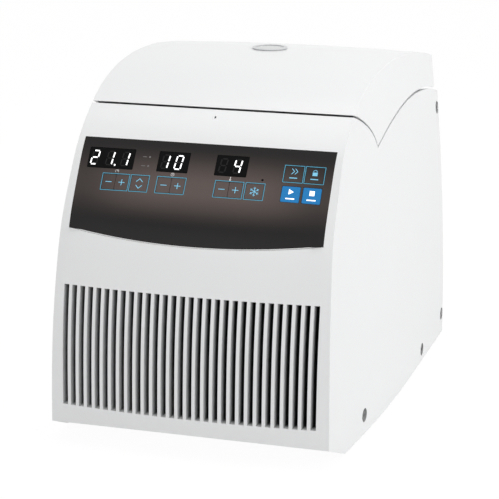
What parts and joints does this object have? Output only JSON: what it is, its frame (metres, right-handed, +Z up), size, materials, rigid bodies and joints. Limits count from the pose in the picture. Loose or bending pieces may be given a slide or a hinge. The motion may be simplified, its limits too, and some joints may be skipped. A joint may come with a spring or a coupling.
{
  "type": "refrigerated centrifuge",
  "caption": "Bench-top refrigerated centrifuge for small tubes: hinged lid over a steel chamber with an angle rotor, sloping key panel and slotted front air intake.",
  "frame": {"origin": "on the bench top, under the middle of the machine's overall box", "axes": "+Z up; the grille and key panel look along -Y; +X is to the right seen from the front"},
  "size_m": [0.29, 0.4402, 0.3292],
  "materials": {
    "white_shell": "smooth, softly glossy white moulding",
    "white_sheet": "smooth white powder coat",
    "grey_sheet": "satin grey paint",
    "panel_gloss": "high gloss dark brown-black overlay",
    "key_blue": "glossy mid blue key cap",
    "display_black": "near-black glossy window",
    "board_green": "green lacquered board",
    "stainless": "brushed, turned round the axis",
    "copper_tube": "bare drawn tube",
    "foam": "pale open foam",
    "armour_steel": "dark grey primer",
    "black_rubber": "matt black rubber",
    "black_iron": "black enamelled casting",
    "bright_steel": "bright machined steel",
    "rotor_aluminium": "hard anodised, satin",
    "black_plastic": "fine-grained black moulding",
    "liner_plastic": "light grey moulding",
    "port_grey": "light grey moulding",
    "clear_window": "clear polished disc",
    "bare_aluminium": "bare mill finish",
    "filter_cloth": "dark open mat"
  },
  "bodies": {
    "housing": {"armour_ring": "armour_steel", "base_pan": "grey_sheet", "chamber_bowl": "stainless", "chamber_gasket": "black_rubber", "chamber_insulation": "foam", "compressor": "black_iron", "condenser": "bare_aluminium", "control_board": "board_green", "control_panel": "panel_gloss", "display_modules": "display_black", "drive_board": "board_green", "dust_filter": "filter_cloth", "evaporator_coil": "copper_tube", "fan_frame": "black_plastic", "filter_drier": "copper_tube", "front_fascia": "white_shell", "hinge_beam": "grey_sheet", "hinge_pins": "bright_steel", "latch_lock": "grey_sheet", "left_side_panel": "white_sheet", "mains_inlet": "black_plastic", "motor_body": "black_iron", "power_supply": "bare_aluminium", "rear_panel": "white_sheet", "refrigerant_pipes": "copper_tube", "right_side_panel": "white_sheet", "rubber_feet": "black_rubber", "rubber_mounts": "black_rubber", "shaft_seal": "black_rubber", "side_screws": "bright_steel", "support_frame": "grey_sheet", "switch_frame": "black_plastic", "top_deck": "grey_sheet"},
    "lid": {"lid_shell": "white_shell", "lid_liner": "liner_plastic", "port_ring": "port_grey", "port_window": "clear_window", "hinge_arms": "bright_steel", "latch_hook": "bright_steel"},
    "rotor": {"motor_shaft": "bright_steel", "rotor_body": "rotor_aluminium", "rotor_lid": "rotor_aluminium", "rotor_nut": "bright_steel"},
    "knob": {"rotor_knob": "black_plastic"},
    "fan": {"fan_rotor": "black_plastic"},
    "rocker": {"mains_rocker": "black_plastic"},
    "bolt": {"latch_bolt": "bright_steel"},
    "speed_minus_key": {"speed_minus_key": "panel_gloss"},
    "speed_plus_key": {"speed_plus_key": "panel_gloss"},
    "unit_key": {"unit_key": "panel_gloss"},
    "time_minus_key": {"time_minus_key": "panel_gloss"},
    "time_plus_key": {"time_plus_key": "panel_gloss"},
    "temperature_minus_key": {"temperature_minus_key": "panel_gloss"},
    "temperature_plus_key": {"temperature_plus_key": "panel_gloss"},
    "precool_key": {"precool_key": "panel_gloss"},
    "pulse_key": {"pulse_key": "panel_gloss"},
    "lid_open_key": {"lid_open_key": "panel_gloss"},
    "start_key": {"start_key": "key_blue"},
    "stop_key": {"stop_key": "key_blue"}
  },
  "joints": [
    {"name": "lid_hinge", "type": "hinge", "parent": "housing", "child": "lid", "pos_m": [0, 0.203, 0.271], "axis": [-1, 0, 0], "range_deg": [0, 80]},
    {"name": "rotor_spin", "type": "hinge", "parent": "housing", "child": "rotor", "pos_m": [0, 0.042, 0.2], "axis": [0, 0, 1], "continuous": true},
    {"name": "rotor_knob_turn", "type": "hinge", "parent": "rotor", "child": "knob", "pos_m": [0, 0.042, 0.244], "axis": [0, 0, 1], "range_deg": [0, 120]},
    {"name": "fan_spin", "type": "hinge", "parent": "housing", "child": "fan", "pos_m": [0, -0.141, 0.087], "axis": [0, 1, 0], "continuous": true},
    {"name": "mains_rocker_tilt", "type": "hinge", "parent": "housing", "child": "rocker", "pos_m": [0.088, 0.2128, 0.092], "axis": [1, 0, 0], "range_deg": [-18, 0]},
    {"name": "latch_bolt_slide", "type": "slide", "parent": "housing", "child": "bolt", "axis": [0, -1, 0], "range_m": [0, 0.005]},
    {"name": "speed_minus_key_press", "type": "slide", "parent": "housing", "child": "speed_minus_key", "axis": [0, 0.866, -0.5], "range_m": [0, 0.0004], "stiffness_N_per_m": 300},
    {"name": "speed_plus_key_press", "type": "slide", "parent": "housing", "child": "speed_plus_key", "axis": [0, 0.866, -0.5], "range_m": [0, 0.0004], "stiffness_N_per_m": 300},
    {"name": "unit_key_press", "type": "slide", "parent": "housing", "child": "unit_key", "axis": [0, 0.866, -0.5], "range_m": [0, 0.0004], "stiffness_N_per_m": 300},
    {"name": "time_minus_key_press", "type": "slide", "parent": "housing", "child": "time_minus_key", "axis": [0, 0.866, -0.5], "range_m": [0, 0.0004], "stiffness_N_per_m": 300},
    {"name": "time_plus_key_press", "type": "slide", "parent": "housing", "child": "time_plus_key", "axis": [0, 0.866, -0.5], "range_m": [0, 0.0004], "stiffness_N_per_m": 300},
    {"name": "temperature_minus_key_press", "type": "slide", "parent": "housing", "child": "temperature_minus_key", "axis": [0, 0.866, -0.5], "range_m": [0, 0.0004], "stiffness_N_per_m": 300},
    {"name": "temperature_plus_key_press", "type": "slide", "parent": "housing", "child": "temperature_plus_key", "axis": [0, 0.866, -0.5], "range_m": [0, 0.0004], "stiffness_N_per_m": 300},
    {"name": "precool_key_press", "type": "slide", "parent": "housing", "child": "precool_key", "axis": [0, 0.866, -0.5], "range_m": [0, 0.0004], "stiffness_N_per_m": 300},
    {"name": "pulse_key_press", "type": "slide", "parent": "housing", "child": "pulse_key", "axis": [0, 0.866, -0.5], "range_m": [0, 0.0004], "stiffness_N_per_m": 300},
    {"name": "lid_open_key_press", "type": "slide", "parent": "housing", "child": "lid_open_key", "axis": [0, 0.866, -0.5], "range_m": [0, 0.0004], "stiffness_N_per_m": 300},
    {"name": "start_key_press", "type": "slide", "parent": "housing", "child": "start_key", "axis": [0, 0.866, -0.5], "range_m": [0, 0.0004], "stiffness_N_per_m": 300},
    {"name": "stop_key_press", "type": "slide", "parent": "housing", "child": "stop_key", "axis": [0, 0.866, -0.5], "range_m": [0, 0.0004], "stiffness_N_per_m": 300}
  ]
}
